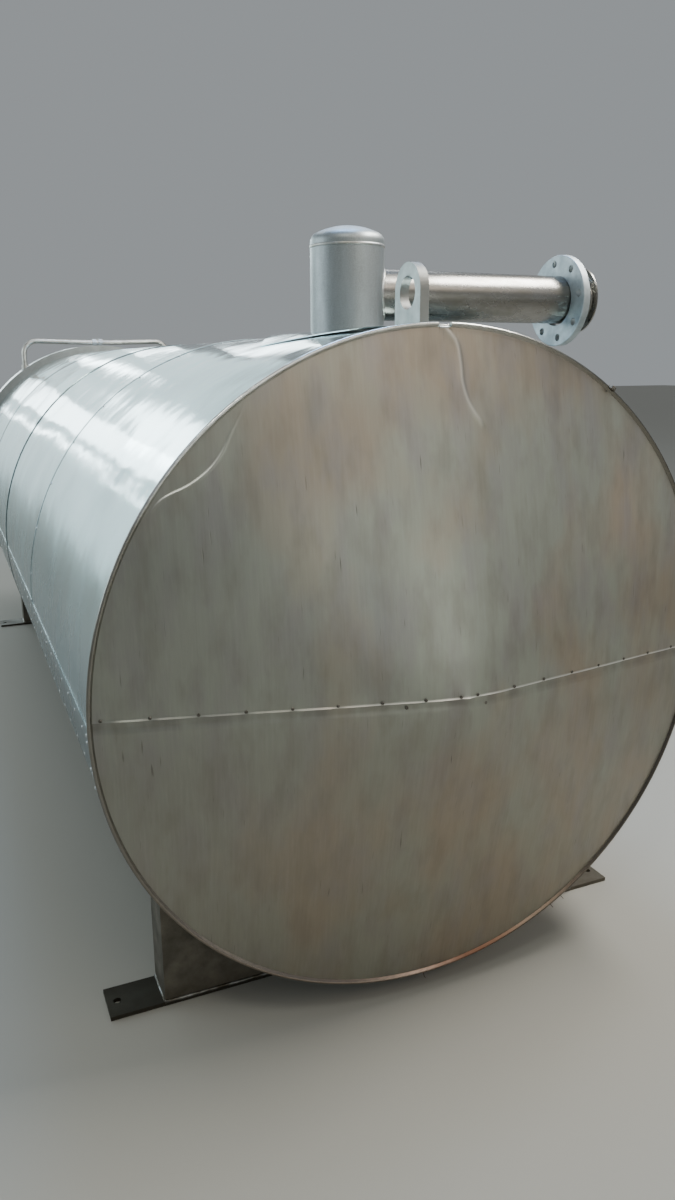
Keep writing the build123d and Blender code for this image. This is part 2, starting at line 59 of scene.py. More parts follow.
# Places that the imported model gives, in metres; the barrel's axis runs along Y at AXIS_Z
shell_low, shell_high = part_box("pressure_shell")
AXIS_Z = (shell_low[2] + shell_high[2]) / 2
APEX_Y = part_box("cover_upper")[0][1]
COVER_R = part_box("cover_upper")[1][0]
RIM_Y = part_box("jacket_upper_1")[0][1]
JACKET_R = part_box("jacket_lower_1")[1][0]
STRIP_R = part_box("rim_strip_right")[1][0]
SEAM_1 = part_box("jacket_upper_1")[1][1]
SEAM_2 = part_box("jacket_upper_3")[0][1]
SEAM_3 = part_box("jacket_upper_3")[1][1]
BARREL_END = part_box("jacket_upper_4")[1][1]

# The cover sits turned a little, so its seam drops by this much for each metre to the right
SEAM_TURN = 0.0235
# How far the lower cover sheet reaches up behind the upper one, and where it starts to step back
LAP_TOP = 0.025
LAP_FOOT = -0.024
# The cone's point is rounded inside this radius
APEX_R = 0.09
# One jacket sheet steps down under the next by its own thickness
JACKET_STEP = 0.0015
# The lower jacket sheets lap over the upper ones up to this far below the axis
SEAM_END = -0.009


# Nodes of a material

def linear(code):
    """Linear RGBA of an sRGB hex colour such as #8c8b7f."""
    shares = [int(code[i:i + 2], 16) / 255 for i in (1, 3, 5)]
    return tuple(s / 12.92 if s <= 0.04045 else ((s + 0.055) / 1.055) ** 2.4 for s in shares) + (1.0,)


def feed(tree, socket, value):
    """Links a socket to the input, or sets the input to a value."""
    if isinstance(value, bpy.types.NodeSocket):
        tree.links.new(value, socket)
    else:
        socket.default_value = value


def add_node(tree, kind, inputs=(), operation=None, output=None, **settings):
    """Adds a node with its settings and returns the named output, or else the first one in use.

    The inputs are a dict by name, or a row of values and sockets for the inputs in use, in their order.
    """
    node = tree.nodes.new("ShaderNode" + kind)
    if operation:
        node.operation = operation
    for name, value in settings.items():
        setattr(node, name, value)
    if isinstance(inputs, dict):
        pairs = [(node.inputs[name], value) for name, value in inputs.items()]
    else:
        pairs = zip([socket for socket in node.inputs if socket.enabled], inputs)
    for socket, value in pairs:
        feed(tree, socket, value)
    return node.outputs[output] if output else next(socket for socket in node.outputs if socket.enabled)


def patches(add, place, scale, detail, roughness=0.6, start=(0, 0, 0), turn=(0, 0, 0)):
    """Soft noise over a place, in patches of 1 / scale metres, or of three such sizes along the three axes."""
    if isinstance(scale, tuple):
        place = add("Mapping", (place, start, turn, scale))
        scale = 1.0
    return add("TexNoise", (place, scale, detail, roughness))


def laid_over(add, tone, colour, share, *limits):
    """A colour over a tone by a share.

    Two limits say which values of the share stand for 0 and 1, and two more take the place of 0 and 1.
    """
    if limits:
        share = add("MapRange", (share, *limits))
    return add("Mix", (share, tone, linear(colour)), data_type="RGBA")


def joined_with(add, share, how, other, *limits, **settings):
    """A share joined with another one by a sum, product or such; the limits are as for laid_over."""
    if limits:
        other = add("MapRange", (other, *limits))
    return add("Math", (share, other), how, **settings)


def round_barrel(add, place):
    """A place's distance to the right, along the barrel and over its axis, and its turn about the axis."""
    x, y, z = add("SeparateXYZ", (place,)).node.outputs
    rise = add("Math", (z, AXIS_Z), "SUBTRACT")
    turn = add("Math", (x, rise), "ARCTAN2")
    return x, y, rise, turn


# Finishes: each takes add_node for its own tree and a place on the piece, and gives its colour, its roughness
# and its relief: rows of a pattern, its strength and its depth in metres, negative where it is cut in

def upright_brushed_sheet(add, place):
    """Stainless cover sheet, ground upright with a belt, then carried, welded over and wiped.

    The belt leaves fine upright lines; handling and pickling leave palm-sized clouds of olive, violet and green
    grey; tools leave a few short dark scores. Painted shade lies under the seam, on the left and over the lower
    half, a painted floor reflection warms the lower half, and painted highlights mark the creases and the edge.
    """
    colours = bpy.context.scene.retort_colours
    x, _, z = add("SeparateXYZ", (place,)).node.outputs
    # clouds 200 mm wide and 330 mm high, others of 70 by 170 mm, and bands about 20 mm wide and 280 mm long
    cloud = patches(add, place, (5.0, 1.0, 3.0), 3.0, 0.5)
    palm = patches(add, place, (14.0, 1.0, 6.0), 4.0, 0.55, start=(7.0, 0, 3.0))
    band = patches(add, place, (46.0, 1.0, 3.6), 3.0)
    # belt lines: 0.4 mm in life, drawn 5 mm wide and 90 mm long so that they show
    line = patches(add, place, (190.0, 1.0, 11.0), 3.0, 0.7)
    # scores: short dark strokes 3 mm wide and 20 to 50 mm long, a little off the upright
    score = patches(add, place, (210.0, 1.0, 17.0), 1.0, 0.5, turn=(0, 0.12, 0))
    score = add("MapRange", (score, 0.69, 0.78))
    score = joined_with(add, score, "MULTIPLY", palm, 0.47, 0.60)
    # warm towards the top edge and on the right, cool round the middle and on the left; the warmth over the lower
    # half is a painted reflection of the floor
    warm = add("MapRange", (z, AXIS_Z + 0.26, AXIS_Z + 0.62, 0.0, 0.95))
    warm = joined_with(add, warm, "MAXIMUM", z, AXIS_Z + 0.04, AXIS_Z - 0.25, 0.0, 0.55)
    warm = joined_with(add, warm, "MAXIMUM", x, 0.15, 0.50, 0.0, 0.6)
    warm = joined_with(add, warm, "SUBTRACT", x, -0.22, -0.46, 0.0, 0.75)
    warm = joined_with(add, warm, "ADD", cloud, 0.36, 0.64, -0.75, 0.75, use_clamp=True)
    tone = laid_over(add, linear(colours.cover_cool), colours.cover_warm, warm)
    tone = laid_over(add, tone, colours.cover_violet, palm, 0.46, 0.66, 0.0, 0.55)
    # one heat-tinted patch, 190 mm wide and 380 mm high, left of the middle and just above the seam
    across, upward = 12.0, 6.0
    patch = (0.18 * across, 0, -(AXIS_Z + 0.17) * upward)
    patch = add("Mapping", (place, patch, (0, 0, 0), (across, 0.0, upward)))
    patch = add("VectorMath", (patch,), "LENGTH")
    patch = joined_with(add, band, "MULTIPLY", patch, 0.35, 1.15, 0.672, 0.0)
    tone = laid_over(add, tone, colours.cover_heat, patch)
    tone = laid_over(add, tone, colours.cover_dark, band, 0.32, 0.62, 0.12, 0.0)
    # smudges 50 mm wide and 130 mm high
    smudge = patches(add, place, (21.0, 1.0, 8.0), 3.0, 0.55, start=(3.0, 0, 9.0))
    tone = laid_over(add, tone, colours.cover_dark, smudge, 0.47, 0.66, 0.0, 0.30)
    # painted shade: greyer and darker on the left side, and darker over the lower half
    tone = laid_over(add, tone, colours.cover_leant, x, 0.0, -0.45, 0.0, 0.24)
    tone = laid_over(add, tone, colours.cover_dark, z, AXIS_Z + 0.02, AXIS_Z - 0.10, 0.0, 0.36)
    tone = laid_over(add, tone, colours.cover_light, line, 0.40, 0.72, 0.0, 0.07)
    # painted shadow under the seam, thickest in the first 12 mm and gone at 24 mm, broken up along its length; it
    # takes the scores' colour
    under = add("VectorMath", (place, (SEAM_TURN, 0.0, 1.0)), "DOT_PRODUCT")
    under = add("Math", (under, AXIS_Z), "SUBTRACT")
    lap = add("Math", (under, -0.0005), "LESS_THAN")
    lap = joined_with(add, lap, "MULTIPLY", under, LAP_FOOT, LAP_FOOT / 2)
    lap = joined_with(add, lap, "MULTIPLY", palm, 0.38, 0.62, 0.05, 0.32)
    marks = add("Math", (score, 0.55), "MULTIPLY")
    marks = add("Math", (marks, lap), "MAXIMUM")
    tone = laid_over(add, tone, colours.cover_score, marks)
    # painted highlight on the crests of the two creases and on the upper half's edge
    worn = add("Attribute", output="Fac", attribute_name="worn")
    tone = laid_over(add, tone, colours.cover_worn, worn)
    rough = add("MapRange", (cloud, 0.35, 0.65, 0.46, 0.36))
    rough = add("Math", (marks, 0.12, rough), "MULTIPLY_ADD")
    return tone, rough, [(line, 0.3, 0.0003), (score, 0.5, -0.0004)]


def rolled_bright_sheet(add, place):
    """Stainless jacket sheet, cold rolled bright and rolled again to the barrel's round.

    The rolls leave it nearly mirror bright, so it shows soft wavy reflections; straps and boots leave rubs that
    run round the barrel. Dirt and painted shade sit in the laps, painted shade darkens the lower sheets, and a
    painted dark reflection lies on the lower part near the rim.
    """
    colours = bpy.context.scene.retort_colours
    x, y, rise, turn = round_barrel(add, place)
    arc = add("Math", (turn, JACKET_R), "MULTIPLY")
    flat = add("CombineXYZ", (arc, y))
    cloud = patches(add, flat, 4.0, 4.0, 0.55)
    # rubs: 6 mm wide along the barrel, 120 mm long round it
    rub = patches(add, flat, (8.0, 170.0, 1.0), 4.0, 0.65)
    band = patches(add, flat, (4.0, 9.0, 1.0), 3.0)
    tone = laid_over(add, linear(colours.jacket_mid), colours.jacket_light, cloud, 0.3, 0.7)
    mark = add("MapRange", (rub, 0.62, 0.76, 0.0, 0.40))
    mark = joined_with(add, mark, "MULTIPLY", cloud, 0.50, 0.62, 0.1, 1.0)
    tone = laid_over(add, tone, colours.jacket_rub, mark)
    # dirt and painted shade in the laps, 4 mm each side of the evenly spaced round seams, broken up along its
    # length
    lap = add("Math", (y, SEAM_1), "SUBTRACT")
    lap = add("Math", (lap, (SEAM_2 - SEAM_1) / 2), "PINGPONG")
    lap = add("MapRange", (lap, 0.002, 0.006, 1.0, 0.0))
    lap = joined_with(add, lap, "MULTIPLY", y, SEAM_1 - 0.2, SEAM_2)
    lap = joined_with(add, lap, "MULTIPLY", cloud, 0.42, 0.6, 0.05, 0.8)
    tone = laid_over(add, tone, colours.lap_dirt, lap)
    # painted shade: the lower sheets are darker
    tone = laid_over(add, tone, colours.lap_dirt, rise, 0.0, -0.05, 0.0, 0.62)
    # above them a painted dark reflection, blue grey, up to shoulder height at the rim and up to head height a
    # metre behind it
    level = joined_with(add, rise, "ADD", y, RIM_Y, RIM_Y + 1.0, 0.0, -0.20)
    tone = laid_over(add, tone, colours.jacket_dull, level, 0.24, 0.02, 0.0, 0.55)
    rough = add("MapRange", (band, 0.3, 0.7, 0.16, 0.075))
    wear = add("Math", (mark, lap), "MAXIMUM")
    rough = add("Math", (wear, 0.30, rough), "MULTIPLY_ADD")
    # the sheet has lost its shine where people brush past
    rough = joined_with(add, rough, "ADD", rise, 0.46, 0.10, 0.0, 0.16)
    # sheet waves: 300 by 450 mm and about 2 mm deep, with 100 mm dents on them
    wave = patches(add, flat, (3.4, 2.2, 1.0), 1.0, 0.4)
    dent = patches(add, flat, 10.0, 1.5, 0.45)
    return tone, rough, [(wave, 1.0, 0.010), (dent, 1.0, 0.0015), (rub, 0.04, 0.0001)]


def pickled_pipe(add, place):
    """Welded pipe and cap, pickled in acid: an even dull grey with a fine sparkle and faint upright stains.

    The sparkle is drawn 2.4 mm wide so that it shows; the stains are 45 mm wide and 200 mm high.
    """
    grain = patches(add, place, 420.0, 2.0)
    stain = patches(add, place, (22.0, 22.0, 5.0), 5.0)
    tone = laid_over(add, linear("#969a99"), "#b2b8b9", stain, 0.32, 0.68)
    tone = laid_over(add, tone, "#c4cacb", grain, 0.42, 0.62, 0.0, 0.3)
    rough = add("MapRange", (stain, 0.3, 0.7, 0.52, 0.40))
    return tone, rough, [(grain, 0.4, 0.0003)]


def pipe_finish(add, place, low, high, roughest, smoothest):
    """Pipe worked round: rings 3 mm wide, drawn coarse so that they show, and patches rubbed along it."""
    ring = patches(add, place, (330.0, 10.0, 10.0), 3.0)
    rub = patches(add, place, (16.0, 40.0, 40.0), 4.0)
    tone = laid_over(add, linear(low), high, rub, 0.35, 0.65)
    rough = add("MapRange", (rub, 0.3, 0.7, roughest, smoothest))
    return tone, rough, [(ring, 0.2, 0.0003)]


def ground_tube(add, place):
    """Pipe ground round with a flap wheel: satin, with faint rings and rubbed patches along it."""
    return pipe_finish(add, place, "#84817a", "#969490", 0.30, 0.25)


def drawn_pipe(add, place):
    """Thin pipe as it was drawn and bent: pale, a little dull, and rubbed where hands hold it."""
    return pipe_finish(add, place, "#b8b4ab", "#d9d6cd", 0.44, 0.36)


def cast_flange(add, place):
    """Aluminium backing flange, cast and tumbled: pale, matt and finely pitted, with grey finger marks."""
    pit = patches(add, place, 600.0, 2.0, 0.7)
    smear = patches(add, place, 30.0, 5.0)
    tone = laid_over(add, linear("#a1a8aa"), "#bec5c7", smear, 0.35, 0.68)
    rough = add("MapRange", (smear, 0.3, 0.7, 0.62, 0.50))
    return tone, rough, [(pit, 0.35, 0.0003)]


def cut_plate(add, place):
    """Plate cut with plasma: pale ground faces, and darker edges with cut lines that run through the plate."""
    normal = add("NewGeometry", output="True Normal")
    across = add("SeparateXYZ", (normal,))
    across = add("Math", (across,), "ABSOLUTE")
    edge = add("MapRange", (across, 0.80, 0.95, 1.0, 0.0))
    # cut lines 2 mm apart
    cut = patches(add, place, (30.0, 500.0, 500.0), 2.0)
    smear = patches(add, place, 36.0, 5.0)
    tone = laid_over(add, linear("#b0b6b3"), "#cbd1ce", smear, 0.35, 0.68)
    tone = laid_over(add, tone, "#8f8f8b", edge)
    lines = add("Math", (cut, edge), "MULTIPLY")
    return tone, 0.5, [(lines, 0.6, 0.0005)]


def hot_rolled_plate(add, place):
    """Hot-rolled saddle plate, pickled dull and left on the floor: dark and cloudy, dusty up to 60 mm."""
    x, _, z = add("SeparateXYZ", (place,)).node.outputs
    cloud = patches(add, place, 14.0, 6.0)
    grit = patches(add, place, 260.0, 3.0)
    tone = laid_over(add, linear("#5b5850"), "#827d73", cloud, 0.32, 0.68)
    dust = joined_with(add, grit, "MULTIPLY", z, 0.004, 0.07, 0.75, 0.0)
    tone = laid_over(add, tone, "#6d6353", dust)
    # painted shadow darkens the foot plates, most at their left ends
    trodden = add("MapRange", (z, 0.013, 0.016, 1.0, 0.0))
    trodden = joined_with(add, trodden, "MULTIPLY", x, 0.0, 0.5, 0.85, 0.25)
    tone = laid_over(add, tone, "#3f3b33", trodden)
    rough = add("MapRange", (cloud, 0.3, 0.7, 0.68, 0.5))
    return tone, rough, [(grit, 0.35, 0.0004)]


def turned_forging(add, place):
    """Stainless forging turned on a lathe: bright, with rings about the barrel's axis and a little grease."""
    x, y, rise, turn = round_barrel(add, place)
    arm = add("CombineXYZ", (x, rise))
    radius = add("VectorMath", (arm,), "LENGTH")
    # rings 2 mm wide: the tool left finer ones, which would not show
    ring = patches(add, add("CombineXYZ", (radius, y, turn)), (500.0, 500.0, 3.0), 2.0)
    film = patches(add, place, 9.0, 5.0)
    tone = laid_over(add, linear("#979995"), "#b9bbb8", film, 0.35, 0.68)
    rough = add("MapRange", (film, 0.3, 0.7, 0.40, 0.25))
    return tone, rough, [(ring, 0.3, 0.0003)]


def pressed_plate(add, place):
    """Pressed and pickled stainless plate: satin grey with cloudy stains and a few light scratches."""
    cloud = patches(add, place, 5.0, 6.0)
    scratch = patches(add, place, (9.0, 9.0, 260.0), 2.0, turn=(0.0, 0.6, 0.3))
    tone = laid_over(add, linear("#92948f"), "#b3b5b2", cloud, 0.35, 0.65)
    rough = add("MapRange", (cloud, 0.3, 0.7, 0.5, 0.36))
    return tone, rough, [(scratch, 0.2, 0.0003)]


# The trim's colours round the rim, as shares of a turn from the bottom over the left side: a painted highlight on
# the upper left, painted shade on the right, brown tones at the foot
TRIM_TONES = (
    (0.0, "#87776c"), (0.11, "#8a8178"), (0.20, "#7c7972"), (0.27, "#8d8b84"), (0.335, "#a3a29b"),
    (0.355, "#eff1ef"), (0.45, "#e6e7e3"), (0.50, "#c4c4bd"), (0.58, "#8b8880"), (0.66, "#57514a"),
    (0.78, "#4f463d"), (0.88, "#43392f"), (0.95, "#66574b"), (1.0, "#87776c"))


def rolled_trim(add, place):
    """Beaded trim strip: a painted highlight on the upper left, and painted shade with brown tones on the right.

    Rust has settled at its foot, and the strip is pitted all round where it was hammered down.
    """
    x, _, rise, turn = round_barrel(add, place)
    turn = add("MapRange", (turn, -math.pi, math.pi))
    tone = add("ValToRGB", (turn,))
    stops = tone.node.color_ramp.elements
    for at, code in TRIM_TONES:
        stop = stops[0] if at == 0 else stops[-1] if at == 1 else stops.new(at)
        stop.color = linear(code)
    stain = patches(add, place, 26.0, 5.0, 0.65)
    tone = laid_over(add, tone, "#6f675b", stain, 0.42, 0.66, 0.0, 0.28)
    # on the right the painted shade keeps to the outer edge, and the inner millimetres have the cover's grey
    arm = add("CombineXYZ", (x, rise))
    radius = add("VectorMath", (arm,), "LENGTH")
    inner = add("MapRange", (radius, STRIP_R - 0.0050, STRIP_R - 0.0030, 0.85, 0.0))
    inner = joined_with(add, inner, "MULTIPLY", x, 0.15, 0.45)
    inner = joined_with(add, inner, "MULTIPLY", rise, -0.2, 0.2, 0.4, 1.0)
    tone = laid_over(add, tone, "#7b786f", inner)
    # rust gathers at the foot of the rim, thickest 120 mm to the branch's side of the bottom
    rust = add("VectorMath", (place, (0.12, RIM_Y, AXIS_Z - JACKET_R)), "DISTANCE")
    rust = joined_with(add, stain, "MULTIPLY", rust, 0.02, 0.14, 0.85, 0.0, use_clamp=True)
    tone = laid_over(add, tone, "#7d4a2c", rust)
    rough = add("Math", (rust, 0.5, 0.25), "MULTIPLY_ADD")
    pit = patches(add, place, 55.0, 3.0)
    return tone, rough, [(pit, 0.4, 0.0010)]


def weld_metal(add, place):
    """Welded bead, brushed after welding: bright crests, grey pits and a trace of straw heat tint."""
    pool = patches(add, place, 160.0, 3.0)
    tint = patches(add, place, 24.0, 3.0)
    tone = laid_over(add, linear("#c4c7c6"), "#b3ac9d", tint, 0.4, 0.7)
    # beads near the floor are darker grey, in patches
    height = add("SeparateXYZ", (place,), output="Z")
    dirt = joined_with(add, tint, "MULTIPLY", height, 0.03, 0.10, 1.7, 0.0, use_clamp=True)
    tone = laid_over(add, tone, "#4d473d", dirt)
    return tone, 0.38, [(pool, 0.8, 0.0012)]


def rivet_finish(add, place, low, high):
    """A rivet's head, with marks 3 mm apart from the tool that pulled it."""
    wear = patches(add, place, 300.0, 3.0)
    tone = laid_over(add, linear(low), high, wear, 0.35, 0.65)
    return tone, 0.42, [(wear, 0.4, 0.0004)]


def rivet_metal(add, place):
    """Pulled steel rivet, left as it came: a dull grey head."""
    return rivet_finish(add, place, "#4f4b44", "#8b877f")


def bright_rivet_metal(add, place):
    """Pulled aluminium rivet: a pale bright head with fine tool marks."""
    return rivet_finish(add, place, "#b5b8b8", "#e2e6e6")


FINISHES = {made.__name__: made for made in (
    upright_brushed_sheet, rolled_bright_sheet, pickled_pipe, ground_tube, drawn_pipe, cast_flange, cut_plate,
    hot_rolled_plate, turned_forging, pressed_plate, rolled_trim, weld_metal, rivet_metal, bright_rivet_metal)}


def finish_called(name):
    """The material of a finish, made at its first use; all of them are bare metal."""
    if name in bpy.data.materials:
        return bpy.data.materials[name]
    material = bpy.data.materials.new(name)
    material.use_nodes = True
    tree = material.node_tree
    shader = tree.nodes["Principled BSDF"].inputs
    add = functools.partial(add_node, tree)
    tone, rough, relief = FINISHES[name](add, add("TexCoord", output="Object"))
    feed(tree, shader["Base Color"], tone)
    feed(tree, shader["Roughness"], rough)
    shader["Metallic"].default_value = 1.0
    below = {}
    for pattern, strength, depth in relief:
        inputs = {"Height": pattern, "Strength": strength, "Distance": abs(depth), **below}
        below = {"Normal": add("Bump", inputs, invert=depth < 0)}
    feed(tree, shader["Normal"], below["Normal"])
    return material


# Shaping of pieces

def deselect():
    bpy.ops.object.select_all(action="DESELECT")


def only(piece):
    """Selects one piece alone and makes it the active one."""
    deselect()
    piece.select_set(True)
    bpy.context.view_layer.objects.active = piece


def start_with(kind, **settings):
    """Adds a primitive, puts its place into its mesh and opens it in edit mode."""
    deselect()
    getattr(bpy.ops.mesh, f"primitive_{kind}_add")(**settings)
    piece = bpy.context.active_object
    bpy.ops.object.transform_apply()
    only(piece)
    bpy.ops.object.mode_set(mode="EDIT")
    return piece


def end_edit(smooth=None):
    """Goes back to object mode, and smooths the edges of less than so many degrees."""
    bpy.ops.object.mode_set(mode="OBJECT")
    if smooth:
        bpy.ops.object.shade_smooth_by_angle(angle=math.radians(smooth))


def pick_all():
    """Selects all of the open mesh."""
    bpy.ops.mesh.select_all(action="SELECT")


def pick(piece, kind, test):
    """Selects, in edit mode, the verts or faces whose middle passes the test."""
    bpy.context.tool_settings.mesh_select_mode = (kind == "verts", False, kind == "faces")
    bpy.ops.mesh.select_all(action="DESELECT")
    mesh = bmesh.from_edit_mesh(piece.data)
    for part in getattr(mesh, kind):
        corners = [part] if kind == "verts" else part.verts
        if test(sum((corner.co for corner in corners), Vector()) / len(corners)):
            part.select_set(True)
    mesh.select_flush_mode()
    bmesh.update_edit_mesh(piece.data)


def pull_out(steps):
    """Insets the picked faces and moves them along Z, once for each step."""
    for inset, lift in steps:
        bpy.ops.mesh.inset(thickness=inset)
        bpy.ops.transform.translate(value=(0, 0, lift))


def modify(piece, kind, **settings):
    """Adds a modifier and applies it."""
    only(piece)
    modifier = piece.modifiers.new(kind.lower(), kind)
    for name, value in settings.items():
        setattr(modifier, name, value)
    bpy.ops.object.modifier_apply(modifier=modifier.name)


def weigh(piece, name, weight):
    """Gives a vertex group the weight that a function of place returns."""
    group = piece.vertex_groups.new(name=name)
    for vert in piece.data.vertices:
        value = weight(vert.co)
        if value > 0:
            group.add([vert.index], min(1.0, value), "REPLACE")
    return group.name


def push(piece, name, weight, depth):
    """Moves a sheet inwards along Y, by as much of the depth as a function of place returns."""
    group = weigh(piece, name, weight)
    modify(piece, "DISPLACE", direction="Y", strength=depth, mid_level=0.0, vertex_group=group)


def clouds(name, size):
    """A soft texture that moves a surface, with clouds of a size in metres."""
    texture = bpy.data.textures.get(name) or bpy.data.textures.new(name, "CLOUDS")
    texture.noise_scale = size
    return texture


def settle(piece, name, finish, replaced=()):
    """Names a finished piece, puts its place into its mesh, and gives it its finish and its body."""
    only(piece)
    bpy.ops.object.transform_apply()
    piece.vertex_groups.clear()
    piece.name = name
    piece.data.name = name
    piece.data.materials.clear()
    piece.data.materials.append(finish_called(finish))
    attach(piece, BODY)
    if replaced:
        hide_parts(*replaced)


def joined(pieces):
    """Several pieces made one."""
    only(pieces[0])
    for piece in pieces:
        piece.select_set(True)
    bpy.ops.object.join()
    return pieces[0]


def stamp(model, places):
    """Copies a model, each copy with its own mesh, to every place, and joins the copies."""
    copies = []
    for place in places:
        copy = model.copy()
        copy.data = model.data.copy()
        bpy.context.collection.objects.link(copy)
        copy.matrix_world = place
        copies.append(copy)
    bpy.data.objects.remove(model)
    return joined(copies)


def facing(place, outward):
    """A place whose local Z points outward."""
    turn = Vector(outward).normalized().to_track_quat("Z", "Y")
    return Matrix.Translation(place) @ turn.to_matrix().to_4x4()


def on_barrel(y, rise, radius, side):
    """A place on the barrel's side, a rise over its axis, that faces outward."""
    across = side * math.sqrt(radius ** 2 - rise ** 2)
    return (across, y, AXIS_Z + rise), (across, 0, rise)


def smooth_step(value):
    """0 below 0, 1 above 1, and a soft step between."""
    value = max(0.0, min(1.0, value))
    return value * value * (3 - 2 * value)


def above_seam(place):
    """How far a place on the cover lies above the seam's edge."""
    return place.z - AXIS_Z + SEAM_TURN * place.x


def off_axis(place):
    """How far a place lies from the barrel's axis."""
    return math.hypot(place.x, place.z - AXIS_Z)


def off_line(place, line):
    """Distance from a bent line, positive on its left, and how far along it, from 0 to 1."""
    x, rise = place.x, place.z - AXIS_Z
    best = (9.0, 0.0)
    lengths = [math.dist(a, b) for a, b in zip(line, line[1:])]
    done = 0.0
    for (ax, az), (bx, bz), length in zip(line, line[1:], lengths):
        ux, uz = (bx - ax) / length, (bz - az) / length
        along = max(0.0, min(length, (x - ax) * ux + (rise - az) * uz))
        gap = math.hypot(x - ax - along * ux, rise - az - along * uz)
        if gap < abs(best[0]):
            side = 1.0 if ux * (rise - az) - uz * (x - ax) >= 0 else -1.0
            best = (side * gap, (done + along) / sum(lengths))
        done += length
    return best


def rounded(line, pieces=6):
    """The bent line with its corners drawn round, through all its points."""
    ends = [line[0], *line, line[-1]]
    points = []
    for a, b, c, d in zip(ends, ends[1:], ends[2:], ends[3:]):
        for i in range(pieces):
            t = i / pieces
            points.append(tuple(
                q + ((r - p) * t + (2 * p - 5 * q + 4 * r - s) * t ** 2 + (3 * q - p - 3 * r + s) * t ** 3) / 2
                for p, q, r, s in zip(a, b, c, d)))
    return points + [line[-1]]


# Places on the cover, to the right of the barrel's axis and over it
COVER_RIVETS = (
    [-0.682 + 0.0847 * i for i in range(8)] + [-0.016, 0.022] + [0.117 + 0.084 * i for i in range(7)])
OLD_RIVETS = ((-0.126, -0.006), (0.044, -0.018))
LEFT_CREASE = rounded([
    (-0.391, 0.578), (-0.406, 0.547), (-0.422, 0.521), (-0.440, 0.486), (-0.465, 0.455), (-0.501, 0.429),
    (-0.541, 0.411), (-0.563, 0.395), (-0.580, 0.370)])
TOP_CREASE = rounded([
    (0.004, 0.694), (0.024, 0.668), (0.030, 0.630), (0.032, 0.592), (0.045, 0.553), (0.078, 0.507)])
RIM_WEDGE = (0.402, 0.580)
RIM_WIRES = ((-0.012, -0.706), (0.332, -0.6225), (0.361, -0.607))

# The cover's row of rivets stands this far over the seam's edge
ROW_RISE = 0.0042
# Rivet rows along the barrel's sides: their rise over its axis, and how far behind the rim they start
SIDE_ROWS = ((-0.032, 0.112), (-0.122, 0.095))
# Rises of the rivets through the rim strip, on the left
RIM_ROW = (-0.006, -0.020, -0.072, -0.110)
# Rivets of a round lap: how many on each side of the crown, degrees between them, and distance from the lap's edge
LAP_RIVETS = 8
LAP_TURN = 10.5
LAP_MARGIN = 0.012


# Settings

def hex_colour(name, what, default):
    """A colour that a user would change."""
    return bpy.props.StringProperty(name=name, description=f"sRGB hex colour of {what}", default=default)


def metres(name, description, default):
    """A size that a user would change."""
    return bpy.props.FloatProperty(name=name, description=description, unit="LENGTH", default=default)


def degrees(name, description, default):
    """A turn that a user would change."""
    return bpy.props.FloatProperty(
        name=name, description=description, unit="ROTATION", default=math.radians(default))


class RetortColours(bpy.types.PropertyGroup):
    """Colours of the sheet metal."""

    cover_cool: hex_colour("Cover, cool", "the cover's cool clouds", "#a6a99e")
    cover_warm: hex_colour("Cover, warm", "its warm clouds", "#aa9f8f")
    cover_violet: hex_colour("Cover, violet", "its violet grey clouds", "#9c9898")
    cover_heat: hex_colour("Cover, heat tint", "its heat-tinted patch", "#7b7a80")
    # its dull bands and smudges, and the painted shade over the cover's lower half
    cover_dark: hex_colour("Cover, dark", "its dull bands and film", "#7d776c")
    # painted shade on the cover's left side
    cover_leant: hex_colour("Cover, leant on", "the film where people lean", "#777875")
    # the cover's scores, and the painted shadow under its seam
    cover_score: hex_colour("Cover, scores", "its scores and of the dirt under the seam", "#4e483e")
    cover_light: hex_colour("Cover, light", "its belt lines", "#cfcdc3")
    # painted highlight on the cover's creases and upper edge
    cover_worn: hex_colour("Cover, worn", "its rubbed edge and creases", "#f4f2e8")
    jacket_mid: hex_colour("Jacket", "the jacket's sheet", "#b9cccf")
    jacket_light: hex_colour("Jacket, light", "its cleaner patches", "#cce1e4")
    jacket_rub: hex_colour("Jacket, rubs", "its rub marks", "#98958d")
    # painted dark reflection on the jacket's lower part near the rim
    jacket_dull: hex_colour("Jacket, dull", "its dull lower part", "#5c696c")
    # dirt and painted shade in the laps, and painted shade on the lower sheets
    lap_dirt: hex_colour("Lap dirt", "the dirt in the laps", "#4b4338")


class RetortSheets(bpy.types.PropertyGroup):
    """Sizes of the cover's sheets."""

    thickness: metres("Sheet", "Thickness of the sheet", 0.0015)
    wave_depth: metres("Waves", "Depth of the waves in the cover", 0.006)
    crease_height: metres("Creases", "Height of the two creases", 0.0030)
    dent_depth: metres("Dent", "Depth of the dent between the left crease and the rim", 0.0015)
    edge_flare: metres("Edge flare", "How far the upper half's edge stands off between rivets", 0.0025)
    apex_round: metres("Rounded apex", "How much lower the rounded middle lies than the cone's point", 0.006)


class RetortFixings(bpy.types.PropertyGroup):
    """Sizes of rivets and welds."""

    rivet_width: metres("Rivet", "Width of a rivet's head", 0.0066)
    rivet_height: metres("Rivet height", "Height of a rivet's head", 0.0018)
    seam_pitch: metres("Side pitch", "Distance of the rivets along the jacket's sides", 0.097)
    bead_width: metres("Weld bead", "Width of a weld bead", 0.007)
    bead_height: metres("Weld bead height", "How far a weld bead stands out", 0.0014)


